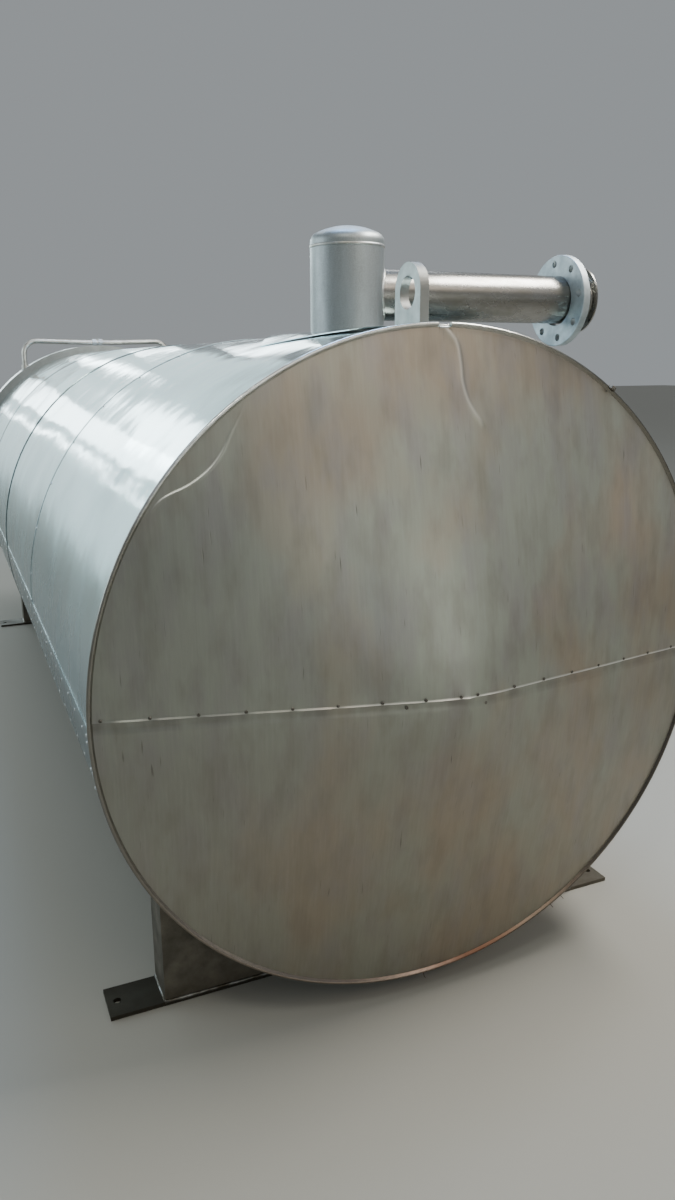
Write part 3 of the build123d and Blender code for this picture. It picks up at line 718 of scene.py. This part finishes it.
class RetortStage(bpy.types.PropertyGroup):
    """Camera and studio round the sterilizer."""

    camera_place: bpy.props.FloatVectorProperty(
        name="Camera place", description="Where the camera stands", unit="LENGTH", subtype="TRANSLATION",
        default=(-0.8929, -3.4468, 1.3976))
    camera_yaw: degrees("Camera yaw", "Turn of the view from +Y towards +X", 23.756)
    camera_pitch: degrees("Camera pitch", "How far the view looks down", 14.830)
    camera_roll: degrees("Camera roll", "Turn of the picture about the view", -0.197)
    camera_lens: bpy.props.FloatProperty(
        name="Lens", description="Focal length for a 36 mm long side", unit="CAMERA", default=26.903)
    floor_colour: hex_colour("Floor colour", "the studio floor", "#a8a59c")
    sky_colour: hex_colour("Surround colour", "the studio's surround", "#c3c9cd")
    sky_strength: bpy.props.FloatProperty(
        name="Surround strength", description="Brightness of the surround", default=0.55)


class RETORT_OT_finishes(bpy.types.Operator):
    """Give every CAD node its finish"""

    bl_idname = "retort.finishes"
    bl_label = "Finishes"

    # The first row with the start of a node's name gives its finish
    STARTS = (
        ("upright_brushed_sheet", ("cover_",)),
        ("rolled_bright_sheet", ("jacket_", "dome_flashing")),
        ("pickled_pipe", ("dome_",)),
        ("cast_flange", ("branch_flange",)),
        ("ground_tube", ("branch_",)),
        ("drawn_pipe", ("bow_", "door_handle")),
        ("cut_plate", ("lifting_lug",)),
        ("hot_rolled_plate", ("front_", "rear_")),
        ("turned_forging", ("turning_ring", "body_flange", "door_flange", "hinge_pin")),
        ("pressed_plate", ("door_dish", "blind_head", "pressure_shell", "support_rings", "hinge_")),
        ("rolled_trim", ("rim_",)),
    )

    def execute(self, context):
        for name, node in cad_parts.items():
            finish = next((finish for finish, starts in self.STARTS if name.startswith(starts)), None)
            if not finish:
                raise RuntimeError(f"No finish for {name}")
            node.data.materials.clear()
            node.data.materials.append(finish_called(finish))
        return {"FINISHED"}


class RETORT_OT_cover(bpy.types.Operator):
    """Form the cover's upper and lower sheets with their creases, dent, waves and flared edge"""

    bl_idname = "retort.cover"
    bl_label = "Cover sheets"

    def cone(self, rings=60, steps=360):
        """A whole cone spun from one slanting line of edges, left open in edit mode."""
        slant = math.hypot(COVER_R, RIM_Y - APEX_Y)
        lean = math.atan2(RIM_Y - APEX_Y, COVER_R)
        middle = Vector((COVER_R / 2, (APEX_Y + RIM_Y) / 2, AXIS_Z))
        beside = Vector((-math.sin(lean), math.cos(lean), 0.0)) * slant / 2
        cone = start_with("grid", x_subdivisions=rings, y_subdivisions=1, size=slant, location=middle + beside,
                          rotation=(0, 0, lean))
        pick(cone, "verts", lambda co: (co - middle).dot(beside) > slant * slant / 8)
        bpy.ops.mesh.delete(type="VERT")
        pick_all()
        bpy.ops.mesh.spin(steps=steps, angle=2 * math.pi, center=(0, 0, AXIS_Z), axis=(0, 1, 0))
        pick_all()
        bpy.ops.mesh.remove_doubles(threshold=0.0002)
        bpy.ops.mesh.normals_make_consistent(inside=False)
        if sum(face.normal.y for face in bmesh.from_edit_mesh(cone.data).faces) > 0:
            bpy.ops.mesh.flip_normals()
        return cone

    def cut(self, rise, **side):
        """Cuts the open sheet along the seam's direction, at a rise over the seam."""
        pick_all()
        bpy.ops.mesh.bisect(plane_co=(0, 0, AXIS_Z + rise), plane_no=(SEAM_TURN, 0, 1), **side)

    def form(self, cone, name, node, sizes, worn=None):
        """Waves and rounded apex, then the sheet's thickness."""
        waves = clouds("cover_waves", 0.34)
        waves.noise_depth = 1
        free = weigh(cone, "free", lambda co: smooth_step((COVER_R - off_axis(co)) / 0.12))
        modify(cone, "DISPLACE", texture=waves, texture_coords="GLOBAL", direction="Y",
               strength=sizes.wave_depth, mid_level=0.5, vertex_group=free)
        push(cone, "middle", lambda co: 1 - smooth_step(off_axis(co) / APEX_R), sizes.apex_round)
        modify(cone, "SOLIDIFY", thickness=sizes.thickness, offset=-1.0)
        if worn:
            row = cone.data.attributes.new("worn", "FLOAT", "POINT")
            for vert in cone.data.vertices:
                row.data[vert.index].value = worn(vert.co)
        only(cone)
        bpy.ops.object.shade_smooth_by_angle(angle=math.radians(32))
        settle(cone, name, "upright_brushed_sheet", [node])

    def flare(self, co):
        """How far the seam's edge stands off: least at the rivets, and at the left end."""
        nearest = min(abs(co.x - x) for x in COVER_RIVETS)
        loose = 0.82 + 0.18 * math.sin(19 * co.x + 1.4)
        loose *= 0.3 + 0.7 * smooth_step((co.x + 0.68) / 0.04)
        return max(0.0, 1 - above_seam(co) / 0.0036) * (1 - 0.5 * math.exp(-(nearest / 0.010) ** 2)) * loose

    def ridges(self, co):
        """The two creases' crests: the top one is steep on its left and runs out over its length."""
        gap, along = off_line(co, LEFT_CREASE)
        ends = smooth_step(along / 0.25) * smooth_step((1 - along) / 0.15)
        left = 0.18 * math.exp(-(gap / 0.0026) ** 2) * ends
        gap, along = off_line(co, TOP_CREASE)
        width = (0.0048 if gap > 0 else 0.0080) * (1 - 0.3 * along)
        top = 0.75 * math.exp(-(gap / width) ** 2) * (1 - 0.3 * along) * smooth_step((1 - along) / 0.10)
        return max(left, top)

    def dent(self, co):
        """The dent falls steeply from the left crease and rises over 85 mm towards the rim."""
        gap, along = off_line(co, LEFT_CREASE)
        ends = smooth_step(along / 0.60) * smooth_step((1 - along) / 0.30)
        return smooth_step(-gap / 0.0034) * max(0.0, 1 + gap / 0.085) * ends

    def worn(self, co):
        """Painted highlight along the creases and the seam's edge."""
        gap, along = off_line(co, LEFT_CREASE)
        left = 0.6 * math.exp(-((gap + 0.0010) / 0.0011) ** 2)
        left *= smooth_step((along - 0.2) / 0.4) * smooth_step((1 - along) / 0.3)
        gap, along = off_line(co, TOP_CREASE)
        top = 0.35 * math.exp(-(gap / 0.0034) ** 2) * smooth_step((1 - along) / 0.2)
        edge = 0.55 * smooth_step(2 - above_seam(co) / 0.0015) * smooth_step((co.x + 0.45) / 0.4)
        return max(left, top, edge)

    def execute(self, context):
        sizes = context.scene.retort_sheets
        upper = self.cone()
        for rise in (0.0013, 0.0026, 0.0040, 0.008, 0.016):
            self.cut(rise)
        self.cut(0.0, clear_inner=True)
        # finer faces along the edge's ends, the dent and the two creases
        for cuts, near in (
                (1, lambda co: above_seam(co) < 0.012 and abs(co.x) > 0.25),
                (3, lambda co: -0.075 < off_line(co, LEFT_CREASE)[0] < 0.03
                    and 0.01 < off_line(co, LEFT_CREASE)[1] < 0.99),
                (3, lambda co: abs(off_line(co, TOP_CREASE)[0]) < 0.03),
                (2, lambda co: abs(off_line(co, LEFT_CREASE)[0]) < 0.011)):
            pick(upper, "faces", near)
            bpy.ops.mesh.subdivide(number_cuts=cuts)
        end_edit()
        push(upper, "flared", self.flare, -sizes.edge_flare)
        push(upper, "ridges", self.ridges, -sizes.crease_height)
        push(upper, "dented", self.dent, sizes.dent_depth)
        self.form(upper, "cover_sheet_upper", "cover_upper", sizes, self.worn)

        # the lower sheet steps back behind the upper one, and the step shows as a soft line under the seam
        lower = self.cone()
        for rise in (LAP_FOOT, -0.019, -0.014, -0.009):
            self.cut(rise)
        self.cut(LAP_TOP, clear_outer=True)
        end_edit()
        step = sizes.thickness + 0.0004
        push(lower, "behind", lambda co: smooth_step((above_seam(co) - LAP_FOOT) / 0.015), step)
        self.form(lower, "cover_sheet_lower", "cover_lower", sizes)
        return {"FINISHED"}


class RETORT_OT_rivets(bpy.types.Operator):
    """Set the rivets of the cover's seam, of the jacket's laps and of the rim"""

    bl_idname = "retort.rivets"
    bl_label = "Rivets"

    def rivets(self, name, finish, places):
        """Pulled blind rivets: low turned heads with a hollow where the pin broke off."""
        sizes = bpy.context.scene.retort_fixings
        width, height = sizes.rivet_width, sizes.rivet_height
        head = start_with("cylinder", vertices=12, radius=width / 2, depth=height / 2,
                          location=(0, 0, height / 4))
        pick(head, "faces", lambda co: co.z > height * 0.45 and math.hypot(co.x, co.y) < width / 10)
        pull_out([(width * 0.12, height * 0.35), (width * 0.12, height * 0.15), (width * 0.05, -height * 0.6)])
        end_edit(smooth=50)
        settle(stamp(head, [facing(*place) for place in places]), name, finish)

    def execute(self, context):
        # one row over the seam, and two left from an earlier fitting below it, where the sheet steps back
        slope = (RIM_Y - APEX_Y) / COVER_R
        places = []
        row = [(x, ROW_RISE - SEAM_TURN * x, -0.0004) for x in COVER_RIVETS]
        old = [(x, rise, 0.0012) for x, rise in OLD_RIVETS]
        for x, rise, sunk in row + old:
            sunk += context.scene.retort_sheets.apex_round * (1 - smooth_step(abs(x) / APEX_R))
            y = APEX_Y + slope * math.hypot(x, rise) + sunk
            places.append(((x, y, AXIS_Z + rise), (math.copysign(slope, x), -1, 0.0)))
        self.rivets("cover_rivets", "rivet_metal", places)

        pitch = context.scene.retort_fixings.seam_pitch
        places = []
        for side in (-1, 1):
            for rise, first in SIDE_ROWS:
                for i in range(int((BARREL_END - RIM_Y - 0.2) / pitch)):
                    y = RIM_Y + first + pitch * i
                    tucked = SEAM_1 < y < SEAM_2 or y > SEAM_3
                    if y <= BARREL_END - 0.03:
                        places.append(on_barrel(y, rise, JACKET_R - tucked * JACKET_STEP, side))
        self.rivets("jacket_side_rivets", "bright_rivet_metal", places)

        places = [on_barrel(RIM_Y + 0.006, rise, STRIP_R, -1) for rise in RIM_ROW]
        places = [(place, (outward[0], -0.2, outward[2])) for place, outward in places]
        self.rivets("rim_rivets", "bright_rivet_metal", places)

        # the round laps are riveted over the barrel's upper half
        radius = JACKET_R - JACKET_STEP
        places = []
        for y in (SEAM_1 - LAP_MARGIN, SEAM_2 + LAP_MARGIN, SEAM_3 - LAP_MARGIN):
            for i in range(-LAP_RIVETS, LAP_RIVETS + 1):
                turn = math.radians(LAP_TURN * i)
                outward = (math.sin(turn), 0, math.cos(turn))
                places.append(((radius * outward[0], y, AXIS_Z + radius * outward[2]), outward))
        self.rivets("jacket_seam_rivets", "bright_rivet_metal", places)
        return {"FINISHED"}


class RETORT_OT_welds(bpy.types.Operator):
    """Lay the weld beads of the dome, branch, saddles, bow and door"""

    bl_idname = "retort.welds"
    bl_label = "Weld beads"

    # Length of a bead's ripples, and how far off a circle starts that is thrown on a pipe
    RIPPLE = 0.012
    THROW = 0.05

    def ring(self, radius, place, rotation, sizes):
        """A flat bead round a pipe."""
        ring = start_with("torus", major_segments=160, minor_segments=8, major_radius=radius,
                          minor_radius=sizes.bead_height)
        pick_all()
        bpy.ops.transform.resize(value=(1, 1, sizes.bead_width / (2 * sizes.bead_height)))
        end_edit()
        bpy.ops.object.shade_smooth()
        ring.rotation_euler = rotation
        ring.location = place
        return ring

    def saddle_ring(self, radius, centre, axis, onto, width):
        """A bead where one pipe meets another: a circle thrown on the other pipe and thickened."""
        deselect()
        bpy.ops.mesh.primitive_circle_add(vertices=120, radius=radius, fill_type="NOTHING", location=(0, 0, 0))
        loop = bpy.context.active_object
        loop.matrix_world = facing(centre, [float(axis == name) for name in "XYZ"])
        bpy.ops.object.transform_apply()
        modify(loop, "SHRINKWRAP", target=onto, wrap_method="PROJECT", use_project_x=axis == "X",
               use_project_y=axis == "Y", use_project_z=axis == "Z", use_negative_direction=True)
        only(loop)
        bpy.ops.object.convert(target="CURVE")
        loop.data.bevel_depth = width / 2
        loop.data.bevel_resolution = 2
        bpy.ops.object.convert(target="MESH")
        bpy.ops.object.shade_smooth()
        return loop

    def straight(self, start, end, sizes):
        """A fillet bead along a corner, swelling and shrinking as the welder moved."""
        start, end = Vector(start), Vector(end)
        length = (end - start).length
        bead = start_with("cylinder", vertices=8, radius=sizes.bead_width * 0.55, depth=length)
        cuts = max(4, int(length / self.RIPPLE))
        for i in range(1, cuts):
            pick_all()
            bpy.ops.mesh.bisect(plane_co=(0, 0, -length / 2 + length * i / cuts), plane_no=(0, 0, 1))
        end_edit()
        modify(bead, "DISPLACE", texture=clouds("bead_ripple", self.RIPPLE), strength=0.003)
        bpy.ops.object.shade_smooth()
        bead.matrix_world = facing((start + end) / 2, end - start)
        return bead

    def execute(self, context):
        sizes = context.scene.retort_fixings
        neck_low, neck_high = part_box("dome_neck")
        dome_r = (neck_high[0] - neck_low[0]) / 2
        dome_y = (neck_low[1] + neck_high[1]) / 2
        cap = self.ring(dome_r, (0, dome_y, neck_high[2]), (0, 0, 0), sizes)
        settle(cap, "dome_cap_weld", "weld_metal")

        pipe_low, pipe_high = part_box("branch_pipe")
        pipe_r = (pipe_high[1] - pipe_low[1]) / 2
        branch_z = (pipe_low[2] + pipe_high[2]) / 2
        foot = self.saddle_ring(pipe_r + 0.001, (dome_r + self.THROW, dome_y, branch_z), "X",
                                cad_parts["dome_neck"], sizes.bead_width)
        settle(foot, "branch_foot_weld", "weld_metal")
        collar = self.ring(pipe_r, (pipe_high[0], dome_y, branch_z), (0, math.radians(90), 0), sizes)
        settle(collar, "branch_collar_weld", "weld_metal")

        dish_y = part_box("door_flange")[1][1]
        shell_r = (shell_high[0] - shell_low[0]) / 2
        dish = self.ring(shell_r, (0, dish_y, AXIS_Z), (math.radians(90), 0, 0), sizes)
        settle(dish, "door_dish_weld", "weld_metal")

        for side in ("left", "right"):
            low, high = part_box(f"bow_boss_{side}")
            centre = ((low[0] + high[0]) / 2, (low[1] + high[1]) / 2, high[2] + self.THROW)
            boss = self.saddle_ring((high[0] - low[0]) / 2, centre, "Z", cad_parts["turning_ring"],
                                    sizes.bead_width * 0.8)
            settle(boss, f"bow_boss_weld_{side}", "weld_metal")

        for end in ("front", "rear"):
            low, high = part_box(f"{end}_saddle_box")
            foot_z = low[2] + 0.001
            corners = [(x, y, foot_z) for x, y in (low[:2], (high[0], low[1]), high[:2], (low[0], high[1]))]
            beads = [self.straight(a, b, sizes) for a, b in zip(corners, corners[1:] + corners[:1])]
            settle(joined(beads), f"{end}_saddle_weld", "weld_metal")
        return {"FINISHED"}


class RETORT_OT_rim(bpy.types.Operator):
    """Add the rim's small things: wedge on the right, clip's lip, wire ends at the foot and the seams' beads"""

    bl_idname = "retort.rim"
    bl_label = "Rim and seams"

    def execute(self, context):
        wedge = start_with("cube", size=1, scale=(0.020, 0.012, 0.008))
        pick(wedge, "faces", lambda co: co.z > 0.003)
        pull_out([(0.002, 0.002)])
        pick_all()
        bpy.ops.mesh.bevel(offset=0.001, segments=2)
        end_edit()
        out = Vector((RIM_WEDGE[0], 0, RIM_WEDGE[1])).normalized()
        wedge.matrix_world = facing(Vector((0, RIM_Y - 0.002, AXIS_Z)) + out * (JACKET_R + 0.004), out)
        settle(wedge, "rim_wedge", "rivet_metal")

        # the clip's lip: a rolled edge with its ends drawn in
        low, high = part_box("rim_clip")
        lip = start_with("cylinder", vertices=16, radius=0.0022, depth=0.018)
        pick(lip, "faces", lambda co: abs(co.z) > 0.008)
        bpy.ops.mesh.inset(thickness=0.0006, use_individual=True)
        bpy.ops.mesh.bevel(offset=0.0004, segments=2)
        end_edit(smooth=40)
        lip.matrix_world = facing(((low[0] + high[0]) / 2 - 0.001, low[1] + 0.0006, low[2] + 0.0004), (1, 0, 0))
        settle(lip, "rim_clip_lip", "bright_rivet_metal")

        wire = start_with("cylinder", vertices=8, radius=0.0008, depth=0.008, location=(0, 0, 0.004))
        pick(wire, "faces", lambda co: co.z > 0.0079)
        for step in ((0.0015, 0, 0.004), (0.003, 0, 0.003)):
            bpy.ops.mesh.extrude_region_move(TRANSFORM_OT_translate={"value": step})
        end_edit(smooth=40)
        wires = stamp(wire, [facing((x, RIM_Y - 0.002, AXIS_Z + rise), (x + 0.1, -0.15, rise))
                             for x, rise in RIM_WIRES])
        settle(wires, "rim_wire_ends", "rolled_trim")

        for number, y in enumerate((SEAM_1, SEAM_2, SEAM_3), 1):
            bead = start_with(
                "torus", major_segments=256, minor_segments=8, major_radius=JACKET_R - JACKET_STEP,
                minor_radius=0.0012, location=(0, y, AXIS_Z), rotation=(math.radians(90), 0, 0))
            pick_all()
            bpy.ops.mesh.bisect(
                plane_co=(0, 0, AXIS_Z + SEAM_END), plane_no=(0, 0, 1), clear_inner=True, use_fill=True)
            end_edit(smooth=40)
            settle(bead, f"seam_edge_{number}", "rolled_bright_sheet")
        return {"FINISHED"}


class RETORT_OT_stage(bpy.types.Operator):
    """Set up the floor, the lights and the camera"""

    bl_idname = "retort.stage"
    bl_label = "Stage"

    # A tall window beyond the door end: place, aim, width, height, power and colour
    WINDOW = ((-3.6, 12.5, 3.3), (-0.5, 0, 1.1), 14.0, 6.4, 390, "#d6eff2")
    PANE_Y = 12.0
    PANE_COLOUR = "#eefbff"
    # Its brighter panes and strips, which the barrel mirrors: how far right and up, width, height, power and roll
    PANES = (
        (-1.8, 3.3, 3.0, 0.85, 42, 0.71), (-1.6, 4.6, 2.0, 1.5, 56, 0.0), (-2.0, 2.4, 1.9, 0.12, 7, 0.85),
        (-3.0, 2.85, 0.9, 0.14, 4, 0.0), (0.92, 3.15, 0.35, 1.3, 13, 0.0), (2.3, 2.8, 0.9, 0.25, 8, 0.0),
        (3.9, 4.15, 1.6, 0.9, 34, 0.0))
    # Soft boxes, with the same values as the window: on the left behind the dome, over the branch, over the
    # dome's cap, over the blind end, on the left above the camera for the creases and the rim, two in front for
    # the cover, and over the barrel
    BOXES = (
        ((-6.8, 2.2, 2.8), (0, -1.5, 1.5), 6.0, 3.2, 165, "#def1fa"),
        ((1.58, -1.85, 3.32), (0.4, -1.6, 1.4), 1.55, 0.62, 100, "#fffdf8"),
        ((0.3, -0.7, 4.4), (0.0, -1.5, 1.6), 1.4, 1.4, 68, "#a0ccff"),
        ((1.3, -6.4, 4.6), (0.0, -2.3, 0.4), 4.6, 1.5, 60, "#fff1e2"),
        ((-1.9, -4.2, 4.4), (-0.45, -2.0, 1.2), 0.7, 0.5, 26, "#fbfff6"),
        ((2.0, -8.2, 1.2), (0.0, -2.0, 1.0), 3.2, 2.2, 32, "#fbfff6"),
        ((6.6, -5.6, 1.1), (0.2, -2.0, 1.0), 2.0, 2.0, 9.5, "#fff6ea"),
        ((0.4, 1.5, 4.6), (0.0, 1.5, 0.0), 1.2, 4.0, 60, "#f4faff"))

    def lamp(self, place, aim, width, height, power, colour, roll=0.0):
        """A soft rectangle of light that the camera doesn't see."""
        bpy.ops.object.light_add(type="AREA", location=place)
        lamp = bpy.context.active_object
        lamp.rotation_mode = "QUATERNION"
        turn = (Vector(aim) - Vector(place)).to_track_quat("-Z", "Y")
        lamp.rotation_quaternion = turn @ Quaternion((0, 0, 1), roll)
        lamp.data.shape = "RECTANGLE"
        lamp.data.size = width
        lamp.data.size_y = height
        lamp.data.energy = power
        lamp.data.color = linear(colour)[:3]
        lamp.visible_camera = False

    def execute(self, context):
        sizes = context.scene.retort_stage
        deselect()
        bpy.ops.mesh.primitive_plane_add(size=80)
        floor = context.active_object
        floor.name = "studio_floor"
        material = bpy.data.materials.new("studio_floor")
        material.use_nodes = True
        shader = material.node_tree.nodes["Principled BSDF"].inputs
        shader["Base Color"].default_value = linear(sizes.floor_colour)
        shader["Roughness"].default_value = 0.85
        floor.data.materials.append(material)

        world = bpy.data.worlds.new("studio")
        context.scene.world = world
        world.use_nodes = True
        sky = world.node_tree.nodes["Background"].inputs
        sky["Color"].default_value = linear(sizes.sky_colour)
        sky["Strength"].default_value = sizes.sky_strength

        self.lamp(*self.WINDOW)
        for x, z, width, height, power, roll in self.PANES:
            self.lamp((x, self.PANE_Y, z), self.WINDOW[1], width, height, power, self.PANE_COLOUR, roll)
        for box in self.BOXES:
            self.lamp(*box)

        ahead = Vector((
            math.sin(sizes.camera_yaw) * math.cos(sizes.camera_pitch),
            math.cos(sizes.camera_yaw) * math.cos(sizes.camera_pitch),
            -math.sin(sizes.camera_pitch)))
        bpy.ops.object.camera_add(location=sizes.camera_place)
        camera = context.active_object
        camera.rotation_mode = "QUATERNION"
        camera.rotation_quaternion = ahead.to_track_quat("-Z", "Y") @ Quaternion((0, 0, 1), sizes.camera_roll)
        camera.data.lens = sizes.camera_lens
        camera.data.sensor_width = 36
        context.scene.camera = camera
        return {"FINISHED"}


class RETORT_PT_panel(bpy.types.Panel):
    """Lists the steps that dress the sterilizer"""

    bl_idname = "RETORT_PT_panel"
    bl_label = "Retort sterilizer"
    bl_space_type = "VIEW_3D"
    bl_region_type = "UI"
    bl_category = "Retort"

    def draw(self, context):
        for made in STEPS:
            self.layout.operator(made.bl_idname)
        for group in SETTINGS:
            settings = getattr(context.scene, group)
            for name in settings.bl_rna.properties.keys():
                if name not in ("rna_type", "name"):
                    self.layout.prop(settings, name)


STEPS = (RETORT_OT_finishes, RETORT_OT_cover, RETORT_OT_rivets, RETORT_OT_welds, RETORT_OT_rim, RETORT_OT_stage)
SETTINGS = {
    "retort_colours": RetortColours,
    "retort_sheets": RetortSheets,
    "retort_fixings": RetortFixings,
    "retort_stage": RetortStage,
}


def register():
    for made in (*SETTINGS.values(), *STEPS, RETORT_PT_panel):
        bpy.utils.register_class(made)
    for name, made in SETTINGS.items():
        setattr(bpy.types.Scene, name, bpy.props.PointerProperty(type=made))


def unregister():
    for name in SETTINGS:
        delattr(bpy.types.Scene, name)
    for made in (RETORT_PT_panel, *reversed(STEPS), *SETTINGS.values()):
        bpy.utils.unregister_class(made)


def main():
    """Dresses the model in the order of the steps."""
    register()
    bpy.ops.retort.finishes()
    bpy.ops.retort.cover()
    bpy.ops.retort.rivets()
    bpy.ops.retort.welds()
    bpy.ops.retort.rim()
    bpy.ops.retort.stage()


if __name__ == "__main__":
    main()
